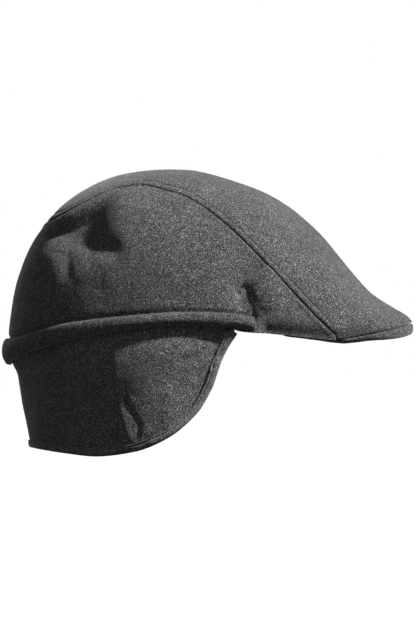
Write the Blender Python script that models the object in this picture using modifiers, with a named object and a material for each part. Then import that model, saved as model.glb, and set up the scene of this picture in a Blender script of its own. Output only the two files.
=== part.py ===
"""An earflap cap of thick wool cloth, with a short covered peak, a rolled lower edge and one hanging flap.

Metres, +Z up, +X forward over the peak, the wearer's right at -Y. The origin is the middle of the head
opening, level with the rim over the ears. The cap is the same on both sides.
"""

import math

import bmesh
import bpy
from mathutils import Vector

# The crown, measured on its outside
CROWN_BACK = 0.107
CROWN_FRONT = 0.174
CROWN_HALF_WIDTH = 0.085
CROWN_HEIGHT = 0.1116
CROWN_WALL = 0.0022
APEX_AHEAD = 0.009
BACK_PLAN_ROUNDNESS = 2.1
FRONT_PLAN_ROUNDNESS = 2.15
BACK_PROFILE_ROUNDNESS = 2.38
FRONT_PROFILE_ROUNDNESS = 2.0
SIDE_PANEL_END = 0.1216
SEAM_GAP = 0.0004
SEAM_TUCK = 0.0006
SEAM_TUCK_WIDTH = 0.0016

# The rolled cuff
CUFF_FRONT = 0.064
CUFF_WALL = 0.0018
CUFF_BULGE_BACK = 0.0043
CUFF_BULGE_FRONT = 0.0034
CUFF_CURL = 0.0020
CUFF_CURL_END = 0.040
CUFF_FADE = 0.012
CUFF_FULLNESS = 0.8

# The ear flap and the binding of its free edge
FLAP_FRONT = 0.0502
FLAP_DEPTH = 0.0846
FLAP_WALL = 0.0024
FLAP_TUCK = 0.008
FLAP_LEAN_BACK = 0.185
FLAP_LEAN_SIDE = 0.045
FLAP_STEP_BACK = 0.0020
FLAP_STEP_DROP = 0.010
FLAP_BELLY = 0.0036
FLAP_BELLY_AHEAD = 0.004
FLAP_BELLY_REACH = 0.032
FLAP_BELLY_START = 0.003
FLAP_BELLY_DROP = 0.024
FLAP_FOLD_START = 0.10
FLAP_FOLD_FULL = 0.80
FLAP_SPREAD = 1.6
BINDING_WIDTH = 0.0058
BINDING_WALL = 0.0011

# The peak
PEAK_HALF_ANGLE = 50.0
PEAK_LIP_FRONT = 0.0068
PEAK_LIP_CORNER = 0.0013
PEAK_LIP_HIDDEN = 0.0026
PEAK_HIDDEN_RISE = 0.0034
PEAK_FADE = 0.006
PEAK_ARCH = 0.0115
PEAK_ROUNDING = 0.0016
HEAD_HALF_LENGTH = 0.101
HEAD_HALF_WIDTH = 0.0835
HEAD_AHEAD = -0.004

# What touching pieces keep between them
FIT_GAP = 0.0003
WALL_CLEARANCE = 0.0006

# How finely the pieces are divided
PANEL_STATIONS = 26
PEAK_EDGE_STATIONS = 10
SIDE_ROWS = 10
TOP_ROWS = 8
CUFF_STATIONS = 24
CUFF_ROWS = 8
FLAP_STATIONS = 22
FLAP_ROWS = 9
BINDING_ROWS = 4
PEAK_STATIONS = 9
PEAK_HIDDEN_STATIONS = 4

# Lines of the side view. Lengths are shares of the crown's whole length from its back, for the seam of the
# side panel's length, and heights are shares of the crown's height above the origin.
RIM_LINE = (
    # along, height
    (0.000, -0.196),
    (0.010, -0.166),
    (0.030, -0.137),
    (0.062, -0.105),
    (0.143, -0.049),
    (0.287, 0.020),
    (0.431, 0.051),
    (0.505, 0.043),
    (0.545, 0.018),
    (0.575, -0.008),
    (0.647, -0.022),
    (0.730, -0.042),
    (0.813, -0.060),
    (0.838, -0.057),
    (0.866, -0.044),
    (0.900, -0.025),
    (0.952, 0.006),
    (0.982, 0.028),
    (1.000, 0.044),
)
TOP_LINE = (
    # along, height
    (0.413, 1.000),
    (0.448, 0.996),
    (0.482, 0.981),
    (0.521, 0.956),
    (0.561, 0.926),
    (0.605, 0.888),
    (0.645, 0.843),
    (0.697, 0.763),
    (0.737, 0.681),
    (0.777, 0.586),
    (0.816, 0.468),
    (0.856, 0.343),
    (0.895, 0.238),
    (0.934, 0.168),
    (0.970, 0.116),
    (0.990, 0.086),
    (1.000, 0.068),
)
SEAM_LINE = (
    # along, height
    (0.0738, 0.650),
    (0.1119, 0.669),
    (0.1635, 0.712),
    (0.2188, 0.775),
    (0.2803, 0.838),
    (0.3245, 0.874),
    (0.3589, 0.890),
    (0.4192, 0.900),
    (0.4806, 0.869),
    (0.5409, 0.831),
    (0.6380, 0.700),
    (0.7424, 0.500),
    (0.8457, 0.275),
    (0.9514, 0.050),
    (1.0006, -0.030),
    (1.0264, -0.070),
)
CUFF_TOP_LINE = (
    # along, height
    (0.000, -0.052),
    (0.030, -0.044),
    (0.062, -0.015),
    (0.143, 0.041),
    (0.287, 0.087),
    (0.431, 0.112),
    (0.529, 0.106),
    (0.573, 0.094),
    (0.610, 0.081),
)

# The flap's free edge in the side view: lengths as shares from the crown's back to the flap's front
# corner, depths as shares of the flap's depth below the origin.
FLAP_EDGE = (
    # along, depth
    (0.110, 0.935),
    (0.160, 0.950),
    (0.256, 0.976),
    (0.396, 1.000),
    (0.546, 0.967),
    (0.630, 0.919),
    (0.727, 0.822),
    (0.789, 0.726),
    (0.837, 0.629),
    (0.868, 0.532),
    (0.894, 0.435),
    (0.911, 0.339),
    (0.929, 0.242),
    (0.970, 0.096),
    (1.000, 0.012),
)

# Dents and soft folds pressed into the crown: place and half-lengths as shares of the crown's length
# and height, the turn of the long way in degrees above level, the depth as a share of the height.
CROWN_DENTS = (
    # along, height, half_long, half_across, turn, depth
    (0.235, 0.650, 0.055, 0.150, 0.0, 0.036),
    (0.257, 0.500, 0.032, 0.070, 0.0, 0.018),
    (0.158, 0.590, 0.075, 0.050, -25.0, 0.014),
    (0.198, 0.440, 0.070, 0.080, -20.0, -0.012),
    (0.143, 0.460, 0.030, 0.160, 0.0, 0.010),
    (0.588, 0.250, 0.030, 0.150, 15.0, 0.015),
    (0.640, 0.210, 0.040, 0.100, 0.0, -0.010),
)
# Soft folds hanging down the flap: the place as a share from the crown's back to the flap's corner,
# the half-width as a share of that length, the depth as a share of the flap's depth.
FLAP_FOLDS = (
    # along, half_width, depth
    (0.215, 0.080, 0.018),
    (0.500, 0.055, 0.026),
    (0.600, 0.055, -0.018),
    (0.860, 0.070, 0.012),
)

# The bill's section, round from the top of its lip: the place as a share from lip to rear edge, the drop
# as a share of the lip's height, and how many roundings it lies in from the lip or from the rear edge.
PEAK_SECTION = (
    # along, drop, from_edge, from_back
    (0.0, 0.00, 0.4, 0.0),
    (0.0, 0.28, 1.9, 0.0),
    (0.35, 0.28, 0.0, 0.0),
    (0.70, 0.28, 0.0, 0.0),
    (1.0, 0.28, 0.0, 1.0),
    (1.0, 0.64, 0.0, 0.0),
    (1.0, 1.00, 0.0, 1.0),
    (0.70, 1.00, 0.0, 0.0),
    (0.35, 1.00, 0.0, 0.0),
    (0.0, 1.00, 1.4, 0.0),
    (0.0, 0.78, 0.2, 0.0),
    (0.0, 0.45, -0.25, 0.0),
)

CLOTH_COLOUR = (0.070, 0.069, 0.073, 1.0)
CUFF_COLOUR = (0.062, 0.061, 0.065, 1.0)
BINDING_COLOUR = (0.085, 0.083, 0.085, 1.0)
PEAK_COLOUR = (0.060, 0.060, 0.062, 1.0)
CLOTH_ROUGHNESS = 0.95

CROWN_LENGTH = CROWN_BACK + CROWN_FRONT
SIDE_PANEL_LENGTH = CROWN_BACK + SIDE_PANEL_END

# Rows beside the seams and in the binding, as shares of their pieces' widths
TOP_TUCK_ROW = 0.05
SIDE_TUCK_ROW = 0.022
BINDING_LEAF_SHARE = 0.34
FLAP_SLOPE_SHARE = 0.07

# How closely the lines are measured
NUDGE = 1e-5
PLAN_STEPS = 240
TANGENT_STEPS = 2
EDGE_SAMPLES = 160
PROFILE_PIECES = 16
HALVINGS = 48
SLOPE_STEP = 0.01


def clear_scene():
    for item in list(bpy.data.objects):
        bpy.data.objects.remove(item, do_unlink=True)


def ramp(value, start, end):
    """0 before start, 1 after end, and a smooth step between."""
    share = min(max((value - start) / (end - start), 0.0), 1.0)
    return share * share * (3.0 - 2.0 * share)


def read_line(rows, place):
    """The height of a table's smooth curve at a place."""
    last = len(rows) - 1
    if place <= rows[0][0]:
        return rows[0][1]
    if place >= rows[last][0]:
        return rows[last][1]
    row = max(i for i in range(last) if rows[i][0] <= place)

    def slope(i):
        before, after = rows[max(i - 1, 0)], rows[min(i + 1, last)]
        return (after[1] - before[1]) / (after[0] - before[0])

    (x0, y0), (x1, y1) = rows[row], rows[row + 1]
    span = x1 - x0
    t = (place - x0) / span
    rise = y0 * (1 + 2 * t) * (1 - t) ** 2 + y1 * t * t * (3 - 2 * t)
    return rise + span * (slope(row) * t * (1 - t) ** 2 - slope(row + 1) * t * t * (1 - t))


def height_at(rows, x, length=CROWN_LENGTH):
    """The height of a side view's line at an X, where its places are shares of a length from the crown's back."""
    return CROWN_HEIGHT * read_line(rows, (x + CROWN_BACK) / length)


def solve(test, low, high):
    """Where a value that rises through zero between low and high meets it."""
    for _ in range(HALVINGS):
        middle = (low + high) / 2
        if test(middle) < 0:
            low = middle
        else:
            high = middle
    return (low + high) / 2


def plan_outline():
    """The right half of the crown's rim seen from above, from the centre back to the front."""
    points = []
    for step in range(PLAN_STEPS + 1):
        angle = math.pi / 2 * step / PLAN_STEPS
        power = 2 / BACK_PLAN_ROUNDNESS
        x = APEX_AHEAD - (CROWN_BACK + APEX_AHEAD) * math.cos(angle) ** power
        points.append(Vector((x, -CROWN_HALF_WIDTH * math.sin(angle) ** power)))
    for step in range(1, PLAN_STEPS + 1):
        angle = math.pi / 2 * step / PLAN_STEPS
        power = 2 / FRONT_PLAN_ROUNDNESS
        x = APEX_AHEAD + (CROWN_FRONT - APEX_AHEAD) * math.sin(angle) ** power
        y = 0.0 if step == PLAN_STEPS else CROWN_HALF_WIDTH * math.cos(angle) ** power
        points.append(Vector((x, -y)))
    return points


PLAN = plan_outline()
PLAN_LENGTHS = [0.0]
for before, after in zip(PLAN, PLAN[1:]):
    PLAN_LENGTHS.append(PLAN_LENGTHS[-1] + (after - before).length)


def plan_point(distance):
    """The rim's place this far round from the centre back, and the way out from it. Past either end it turns back."""
    if distance < 0:
        point, out = plan_point(-distance)
        return Vector((point.x, -point.y)), Vector((out.x, -out.y))
    distance = min(distance, PLAN_LENGTHS[-1])
    low, high = 0, len(PLAN) - 1
    while high - low > 1:
        middle = (low + high) // 2
        if PLAN_LENGTHS[middle] <= distance:
            low = middle
        else:
            high = middle
    share = (distance - PLAN_LENGTHS[low]) / (PLAN_LENGTHS[high] - PLAN_LENGTHS[low])
    point = PLAN[low].lerp(PLAN[high], share)
    window = max(low - TANGENT_STEPS, 0), min(high + TANGENT_STEPS, len(PLAN) - 1)
    along = (PLAN[window[1]] - PLAN[window[0]]).normalized()
    out = Vector((along.y, -along.x))
    if distance <= NUDGE:
        out = Vector((-1.0, 0.0))
    return point, out


def plan_distance(x):
    """How far round the rim from the centre back a place at this X lies."""
    return solve(lambda distance: plan_point(distance)[0].x - x, 0.0, PLAN_LENGTHS[-1])


def bare_crown(distance, turn):
    """The crown without its dents: turn 0 at the rim and a right angle at the top's centre line."""
    rim = plan_point(distance)[0]
    centre = Vector((max(rim.x, APEX_AHEAD), 0.0))
    forward = max(rim.x - APEX_AHEAD, 0.0) / (CROWN_FRONT - APEX_AHEAD)
    power = 2 / (BACK_PROFILE_ROUNDNESS + forward * (FRONT_PROFILE_ROUNDNESS - BACK_PROFILE_ROUNDNESS))
    low = height_at(RIM_LINE, rim.x)
    high = height_at(TOP_LINE, centre.x)
    spot = centre.lerp(rim, max(math.cos(turn), 0.0) ** power)
    return Vector((spot.x, spot.y, low + (high - low) * math.sin(turn) ** power))


def dent_depth(point):
    """How far the dents press the crown in at a point, read in the side view."""
    depth = 0.0
    for along, height, half_long, half_across, turn, deep in CROWN_DENTS:
        across = point.x - (along * CROWN_LENGTH - CROWN_BACK)
        up = point.z - height * CROWN_HEIGHT
        angle = math.radians(turn)
        long_way = (across * math.cos(angle) + up * math.sin(angle)) / (half_long * CROWN_LENGTH)
        short_way = (up * math.cos(angle) - across * math.sin(angle)) / (half_across * CROWN_HEIGHT)
        depth += deep * CROWN_HEIGHT * math.exp(-(long_way**2) - short_way**2)
    return depth * ramp(abs(point.y), 0.0, CROWN_HALF_WIDTH / 2)


def crown_out(distance, turn):
    """The way out of the bare crown."""
    stride = SLOPE_STEP * CROWN_BACK
    turn = min(max(turn, SLOPE_STEP), math.pi / 2 - 3 * SLOPE_STEP)
    reach = min(max(distance, 3 * stride), PLAN_LENGTHS[-1] - 3 * stride)
    up = bare_crown(reach, turn + SLOPE_STEP) - bare_crown(reach, turn - SLOPE_STEP)
    along = bare_crown(reach + stride, turn) - bare_crown(reach - stride, turn)
    return along.cross(up).normalized()


def crown_point(distance, turn, sunk=0.0):
    """The crown's outside with its dents, pressed in by sunk as well."""
    point = bare_crown(distance, turn)
    out = crown_out(distance, turn)
    if abs(point.y) < NUDGE:
        out.y = 0.0
    return point - out * (dent_depth(point) + sunk)


def seam_turn(distance):
    """The turn at which the crown's profile crosses the seam between the top and side panels."""
    x = plan_point(distance)[0].x
    if x >= SIDE_PANEL_END:
        return 0.0

    def above_seam(turn):
        point = bare_crown(distance, turn)
        return point.z - height_at(SEAM_LINE, point.x, SIDE_PANEL_LENGTH)

    return solve(above_seam, 0.0, math.pi / 2 - SLOPE_STEP)


def edged_steps(count, edge):
    """Shares from 0 to 1, with a narrow step at each end."""
    inner = [edge + (1 - 2 * edge) * i / count for i in range(count + 1)]
    return [0.0] + inner + [1.0]


def profile_length(distance, start, end):
    turns = [start + (end - start) * i / PROFILE_PIECES for i in range(PROFILE_PIECES + 1)]
    points = [bare_crown(distance, turn) for turn in turns]
    return sum((b - a).length for a, b in zip(points, points[1:]))


def material(name, colour):
    made = bpy.data.materials.new(name)
    made.use_nodes = True
    shader = made.node_tree.nodes["Principled BSDF"]
    shader.inputs["Base Color"].default_value = colour
    shader.inputs["Roughness"].default_value = CLOTH_ROUGHNESS
    made.diffuse_color = colour
    return made


def face_out(mesh, middle):
    """Turns an open surface so that its faces look away from a point."""
    mesh.normal_update()
    lean = sum(f.normal.dot(f.calc_center_median() - middle) * f.calc_area() for f in mesh.faces)
    if lean < 0:
        bmesh.ops.reverse_faces(mesh, faces=mesh.faces)


def grid_object(name, columns, rows, place, colour, closed=False):
    """A grid wrapped on the surface that place(column, row) gives, as an object in the cap's collection."""
    mesh = bmesh.new()
    bmesh.ops.create_grid(mesh, x_segments=len(columns) - 1, y_segments=len(rows) - 1, size=1.0)
    for corner in mesh.verts:
        column = round((corner.co.x + 1) / 2 * (len(columns) - 1))
        row = round((corner.co.y + 1) / 2 * (len(rows) - 1))
        corner.co = place(columns[column], rows[row])
    bmesh.ops.remove_doubles(mesh, verts=mesh.verts, dist=NUDGE)
    if closed:
        bmesh.ops.holes_fill(mesh, edges=mesh.edges, sides=0)
        bmesh.ops.recalc_face_normals(mesh, faces=mesh.faces)
    else:
        face_out(mesh, Vector((APEX_AHEAD, 0.0, 0.0)))
    data = bpy.data.meshes.new(name)
    mesh.to_mesh(data)
    mesh.free()
    data.shade_smooth()
    made = bpy.data.objects.new(name, data)
    made.data.materials.append(material(name + "_cloth", colour))
    CAP.objects.link(made)
    return made


def thicken(made, wall):
    """Gives an open surface its wall, inwards."""
    solidify = made.modifiers.new("wall", "SOLIDIFY")
    solidify.thickness = wall
    solidify.offset = -1.0
    solidify.use_quality_normals = True


def mirror(made):
    twin = made.modifiers.new("other side", "MIRROR")
    twin.use_axis = (False, True, False)
    twin.merge_threshold = NUDGE
    twin.use_clip = True


def panel_columns(corner):
    """Distances round the rim that the top and side panels share, so that their edges match along the seam."""
    return [0.0, SEAM_TUCK_WIDTH] + [corner * i / PANEL_STATIONS for i in range(1, PANEL_STATIONS + 1)]


def top_panel():
    """One tongue of cloth from the peak's edge over the top to the back."""

    def place(distance, share):
        low = seam_turn(distance)
        length = profile_length(distance, low, math.pi / 2)
        start = low + (math.pi / 2 - low) * (SEAM_GAP / 2) / length if low > 0 else 0.0
        sunk = SEAM_TUCK if share == 0 and low > 0 else 0.0
        if share == TOP_TUCK_ROW:
            share = min(SEAM_TUCK_WIDTH / length, TOP_TUCK_ROW)
        return crown_point(distance, start + (math.pi / 2 - start) * share, sunk)

    whole = PLAN_LENGTHS[-1]
    corner = plan_distance(SIDE_PANEL_END)
    columns = panel_columns(corner)
    columns += [corner + (whole - corner) * i / PEAK_EDGE_STATIONS for i in range(1, PEAK_EDGE_STATIONS + 1)]
    rows = [0.0, TOP_TUCK_ROW] + [i / TOP_ROWS for i in range(1, TOP_ROWS + 1)]
    made = grid_object("top_panel", columns, rows, place, CLOTH_COLOUR)
    mirror(made)
    thicken(made, CROWN_WALL)
    return made


def side_panel(name, side):
    """The cloth between the rim and the top panel's seam, from the centre back to the peak's corner."""
    corner = plan_distance(SIDE_PANEL_END)

    def place(distance, share):
        distance = max(distance, SEAM_GAP / 2)
        high = seam_turn(min(distance, corner - NUDGE))
        length = profile_length(distance, 0.0, high)
        end = high * (1 - SEAM_GAP / 2 / length)
        edge = distance <= SEAM_GAP / 2
        sunk = SEAM_TUCK if share == 1 or edge else 0.0
        point = crown_point(distance, end * share, sunk)
        return Vector((point.x, point.y * side, point.z))

    made = grid_object(name, panel_columns(corner), edged_steps(SIDE_ROWS, SIDE_TUCK_ROW), place, CLOTH_COLOUR)
    thicken(made, CROWN_WALL)
    return made


def sweep_columns(end, count):
    """Distances round the rim from one front end over the centre back to the other."""
    return [end * i / count for i in range(-count, count + 1)]


def rolled_cuff():
    """The rolled lower edge: a strip bent to a C, which hugs the crown above and curls under its rim."""
    end = plan_distance(CUFF_FRONT)

    def place(distance, share):
        point, out = plan_point(distance)
        rim = height_at(RIM_LINE, point.x)
        curl = 1.0 - ramp(point.x, CUFF_CURL_END - CUFF_FADE, CUFF_CURL_END)
        lift = ramp(point.x, CUFF_CURL_END, CUFF_CURL_END + CUFF_FADE)
        low = rim - (1 - lift) * (CUFF_WALL + WALL_CLEARANCE) + lift * CUFF_WALL
        high = height_at(CUFF_TOP_LINE, point.x)
        bulge = CUFF_BULGE_BACK + (CUFF_BULGE_FRONT - CUFF_BULGE_BACK) * abs(distance) / end
        angle = math.pi * (0.5 - share)
        away = WALL_CLEARANCE + (bulge - WALL_CLEARANCE) * max(math.cos(angle), 0.0) ** CUFF_FULLNESS
        if share == 1:
            away = WALL_CLEARANCE - curl * (CUFF_CURL + WALL_CLEARANCE)
        level = (low + high) / 2 + (high - low) / 2 * math.sin(angle)
        spot = point + out * away
        return Vector((spot.x, spot.y, level))

    rows = [i / CUFF_ROWS for i in range(CUFF_ROWS + 1)]
    made = grid_object("rolled_cuff", sweep_columns(end, CUFF_STATIONS), rows, place, CUFF_COLOUR)
    thicken(made, CUFF_WALL)
    return made


def flap_point(distance, level, away=0.0):
    """The middle of the flap's cloth this far round and at this height, or off it by away."""
    point, out = plan_point(distance)
    rim = height_at(RIM_LINE, point.x)
    lean = FLAP_LEAN_SIDE
    if out.x < 0:
        lean += (FLAP_LEAN_BACK - FLAP_LEAN_SIDE) * out.x * out.x
    hang = max(rim - level, 0.0)
    inset = CROWN_WALL + WALL_CLEARANCE + FLAP_WALL / 2 + lean * hang
    inset += FLAP_STEP_BACK * max(-out.x, 0.0) * ramp(hang, 0.0, FLAP_STEP_DROP)
    over_ear = math.exp(-(((point.x - FLAP_BELLY_AHEAD) / FLAP_BELLY_REACH) ** 2))
    inset -= FLAP_BELLY * over_ear * ramp(hang, FLAP_BELLY_START, FLAP_BELLY_DROP)
    corner = FLAP_FRONT + CROWN_BACK
    fold = 0.0
    for along, half_width, depth in FLAP_FOLDS:
        off = (point.x + CROWN_BACK - along * corner) / (half_width * corner)
        fold += depth * FLAP_DEPTH * math.exp(-off * off)
    inset += fold * ramp(hang, FLAP_FOLD_START * FLAP_DEPTH, FLAP_FOLD_FULL * FLAP_DEPTH)
    spot = point - out * (inset - away)
    return Vector((spot.x, spot.y, level))


def flap_edge():
    """The flap's free edge as (distance round, height), evenly spaced from the centre back to the front corner."""
    corner = FLAP_FRONT + CROWN_BACK
    samples = []
    first, last = FLAP_EDGE[0][0], FLAP_EDGE[-1][0]
    for i in range(EDGE_SAMPLES + 1):
        share = first + (last - first) * math.sin(math.pi / 2 * i / EDGE_SAMPLES)
        level = -FLAP_DEPTH * read_line(FLAP_EDGE, share)
        x = share * corner - CROWN_BACK
        distance = 0.0
        if i > 0:
            distance = solve(lambda d: flap_point(d, level).x - x, 0.0, plan_distance(SIDE_PANEL_END))
        samples.append((distance, level))
    lengths = [0.0]
    for (d0, z0), (d1, z1) in zip(samples, samples[1:]):
        lengths.append(lengths[-1] + math.hypot(d1 - d0, z1 - z0))
    edge = []
    for i in range(FLAP_STATIONS + 1):
        wanted = lengths[-1] * i / FLAP_STATIONS
        at = max(j for j in range(EDGE_SAMPLES) if lengths[j] <= wanted)
        share = (wanted - lengths[at]) / (lengths[at + 1] - lengths[at])
        edge.append(tuple(a + (b - a) * share for a, b in zip(samples[at], samples[at + 1])))
    return edge


def flap_place(edge, station, share):
    """A point of the flap between its top, inside the crown's wall, and its free edge, in rim distance and height."""
    distance, level = edge[abs(station)]
    front = plan_distance(FLAP_FRONT)
    top = front * abs(station) / FLAP_STATIONS
    top_level = height_at(RIM_LINE, plan_point(top)[0].x) + FLAP_TUCK
    round_share = 1 - (1 - share) ** FLAP_SPREAD
    there = top + (distance - top) * round_share
    sign = -1 if station < 0 else 1
    return sign * there, top_level + (level - top_level) * share


def ear_flap(edge):
    """One wall of cloth round the back and both sides."""

    def place(station, share):
        distance, level = flap_place(edge, station, share)
        return flap_point(distance, level, FLAP_WALL / 2)

    rows = [i / FLAP_ROWS for i in range(FLAP_ROWS + 1)]
    made = grid_object("ear_flap", list(range(-FLAP_STATIONS, FLAP_STATIONS + 1)), rows, place, CLOTH_COLOUR)
    thicken(made, FLAP_WALL)
    return made


def flap_binding(edge):
    """A strip folded over the flap's free edge, from rim to rim."""

    def edge_frame(station):
        distance, level = flap_place(edge, station, 1.0)
        here = flap_point(distance, level)
        nearby = [max(station - 1, -FLAP_STATIONS), min(station + 1, FLAP_STATIONS)]
        ends = [flap_point(*flap_place(edge, i, 1.0)) for i in nearby]
        along = (ends[1] - ends[0]).normalized()
        inward = flap_point(*flap_place(edge, station, 1.0 - FLAP_SLOPE_SHARE)) - here
        inward = (inward - along * inward.dot(along)).normalized()
        out = along.cross(inward).normalized()
        if out.dot(flap_point(distance, level, BINDING_WALL) - here) < 0:
            out = out * -1.0
        return here, out, inward

    def place(station, share):
        here, out, inward = edge_frame(station)
        half = FLAP_WALL / 2 + FIT_GAP + BINDING_WALL
        leaf = BINDING_WIDTH - half
        if share <= BINDING_LEAF_SHARE:
            return here + out * half + inward * leaf * (1 - share / BINDING_LEAF_SHARE)
        if share >= 1 - BINDING_LEAF_SHARE:
            return here - out * half + inward * leaf * (1 - (1 - share) / BINDING_LEAF_SHARE)
        angle = math.pi * (share - BINDING_LEAF_SHARE) / bend
        return here + (out * math.cos(angle) - inward * math.sin(angle)) * half

    bend = 1 - 2 * BINDING_LEAF_SHARE
    rows = [0.0, BINDING_LEAF_SHARE / 2]
    rows += [BINDING_LEAF_SHARE + bend * i / BINDING_ROWS for i in range(BINDING_ROWS + 1)]
    rows += [1 - BINDING_LEAF_SHARE / 2, 1.0]
    stations = list(range(-FLAP_STATIONS, FLAP_STATIONS + 1))
    made = grid_object("flap_binding", stations, rows, place, BINDING_COLOUR)
    thicken(made, BINDING_WALL)
    return made


def peak():
    """The stiff bill: a curved board in cloth under the top panel's front, with its lip below the seam."""
    head = Vector((HEAD_AHEAD, 0.0))
    corner_width = -plan_point(plan_distance(SIDE_PANEL_END))[0].y

    def bearing(way):
        return math.atan2(-way.y, way.x)

    def arch(y):
        return -PEAK_ARCH * (y / corner_width) ** 2

    def section(angle):
        way = Vector((math.cos(angle), -math.sin(angle)))
        distance = solve(lambda d: angle - bearing(plan_point(d)[0] - head), 0.0, PLAN_LENGTHS[-1])
        rim, out = plan_point(distance)
        back = 1 / math.hypot(way.x / HEAD_HALF_LENGTH, way.y / HEAD_HALF_WIDTH)
        base = height_at(RIM_LINE, rim.x)
        shown = ramp(rim.x, SIDE_PANEL_END + WALL_CLEARANCE, SIDE_PANEL_END + PEAK_FADE)
        forward = max(rim.x - SIDE_PANEL_END, 0.0) / (CROWN_FRONT - SIDE_PANEL_END)
        lip = PEAK_LIP_CORNER + (PEAK_LIP_FRONT - PEAK_LIP_CORNER) * math.sqrt(forward)
        lip = PEAK_LIP_HIDDEN + shown * (lip - PEAK_LIP_HIDDEN)
        outer = rim - out * (1 - shown) * (CROWN_WALL + WALL_CLEARANCE)
        inner = head + way * back
        return outer, inner, base + (1 - shown) * PEAK_HIDDEN_RISE, lip

    def place(angle, index):
        outer, inner, base, lip = section(abs(angle))
        span = (inner - outer).length
        along, drop, from_edge, from_back = PEAK_SECTION[index % len(PEAK_SECTION)]
        inward = span * along + PEAK_ROUNDING * (from_edge - from_back)
        spot = outer.lerp(inner, inward / span)
        level = base + arch(spot.y) - arch(outer.y) - FIT_GAP - lip * drop
        side = -1.0 if angle < 0 else 1.0
        return Vector((spot.x, spot.y * side, level))

    def bearing_at(x):
        return bearing(plan_point(plan_distance(x))[0] - head)

    limit = math.radians(PEAK_HALF_ANGLE)
    corner = bearing_at(SIDE_PANEL_END + WALL_CLEARANCE)
    shown = bearing_at(SIDE_PANEL_END + PEAK_FADE)
    half = [shown * i / PEAK_STATIONS for i in range(1, PEAK_STATIONS + 1)]
    half += [corner + (limit - corner) * i / PEAK_HIDDEN_STATIONS for i in range(PEAK_HIDDEN_STATIONS + 1)]
    columns = [-angle for angle in reversed(half)] + [0.0] + half
    return grid_object("peak", columns, list(range(len(PEAK_SECTION) + 1)), place, PEAK_COLOUR, closed=True)


clear_scene()
CAP = bpy.data.collections.new("earflap_cap")
bpy.context.scene.collection.children.link(CAP)
top_panel()
side_panel("side_panel_right", 1.0)
side_panel("side_panel_left", -1.0)
rolled_cuff()
free_edge = flap_edge()
ear_flap(free_edge)
flap_binding(free_edge)
peak()
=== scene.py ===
# %% [markdown]
# # An earflap cap in charcoal wool
#
# The cap is sewn from thick felted wool: two side panels and one long tongue of cloth over the top, a
# short stiff peak, a rolled lower edge, and one bound flap round the back and over both ears. The packed
# model gives every piece its place and its space. This lesson makes each piece again with finer cloth.

import math

import bpy
import numpy as np
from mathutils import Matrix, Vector, noise


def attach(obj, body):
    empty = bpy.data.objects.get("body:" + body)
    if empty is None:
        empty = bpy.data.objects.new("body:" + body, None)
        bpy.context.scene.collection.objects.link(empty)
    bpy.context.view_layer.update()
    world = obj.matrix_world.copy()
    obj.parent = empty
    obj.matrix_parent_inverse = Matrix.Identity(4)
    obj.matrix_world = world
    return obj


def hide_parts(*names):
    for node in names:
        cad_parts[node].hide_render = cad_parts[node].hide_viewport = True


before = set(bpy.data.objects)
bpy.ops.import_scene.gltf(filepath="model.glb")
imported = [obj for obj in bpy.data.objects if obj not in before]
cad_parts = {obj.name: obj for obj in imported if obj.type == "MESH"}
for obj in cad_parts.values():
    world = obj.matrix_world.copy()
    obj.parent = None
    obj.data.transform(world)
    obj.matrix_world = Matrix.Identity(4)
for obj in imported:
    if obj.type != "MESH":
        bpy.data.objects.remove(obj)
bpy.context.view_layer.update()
scene = bpy.context.scene
MM = 0.001
CM = 0.01
print("nodes:", ", ".join(sorted(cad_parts)))

# %% [markdown]
# ## Camera, floor and light
#
# The photograph looks level at the wearer's right side, from so far away that lines hardly converge. A
# long lens at eight metres gives the same view. One millimetre of the cap is about 1.44 pixels of the
# picture, and the middle of the picture lies a little ahead of and above the middle of the head opening.

# %% The camera
VIEW_MIDDLE = Vector((0.0320, 0.0, 0.0125))
VIEW_WIDTH = 0.2891
VIEW_FAR = 8.0
SENSOR = 36.0
PICTURE_SHAPE = 624 / 416


def new_object(name, data):
    """A new object in the scene."""
    made = bpy.data.objects.new(name, data)
    scene.collection.objects.link(made)
    return made


camera_data = bpy.data.cameras.new("side_view")
camera_data.sensor_fit = "AUTO"
camera_data.sensor_width = SENSOR
camera_data.lens = SENSOR * VIEW_FAR / (VIEW_WIDTH * PICTURE_SHAPE)
camera_data.clip_end = 100.0
camera = new_object("side_view", camera_data)
camera.location = VIEW_MIDDLE + Vector((0.0, -VIEW_FAR, 0.0))
camera.rotation_euler = (math.pi / 2, 0.0, 0.0)
scene.camera = camera
print("lens", round(camera_data.lens), "mm")

# %% [markdown]
# A white floor and a white surround stand for the studio. The cap is held up by its head opening, so the
# floor lies well below it. White paper would throw so much light up under a dark cap that its shadows
# would go, so the floor is left out of what lights the cap. The key light is high, ahead of the cap and
# a little on the near side, which leaves the back of the cap dark as in the photograph.

# %% The floor and the lights
FLOOR_DROP = 0.26
FLOOR_SIZE = 60.0
LAMP_FAR = 1.6


def from_hex(text):
    """An sRGB colour in hex as the linear colour that Blender works in."""
    channels = [int(text[i:i + 2], 16) / 255 for i in (1, 3, 5)]
    return [c / 12.92 if c <= 0.04045 else ((c + 0.055) / 1.055) ** 2.4 for c in channels] + [1.0]


def add_light(name, kind, towards, energy, size):
    """A white sun or soft square lamp that shines from a direction on the middle of the cap."""
    data = bpy.data.lights.new(name, kind)
    data.energy = energy
    if kind == "SUN":
        data.angle = math.radians(size)
    else:
        data.shape = "SQUARE"
        data.size = size
    lamp = new_object(name, data)
    way = Vector(towards).normalized()
    lamp.location = VIEW_MIDDLE + way * LAMP_FAR
    lamp.rotation_euler = way.to_track_quat("Z", "Y").to_euler()


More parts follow.
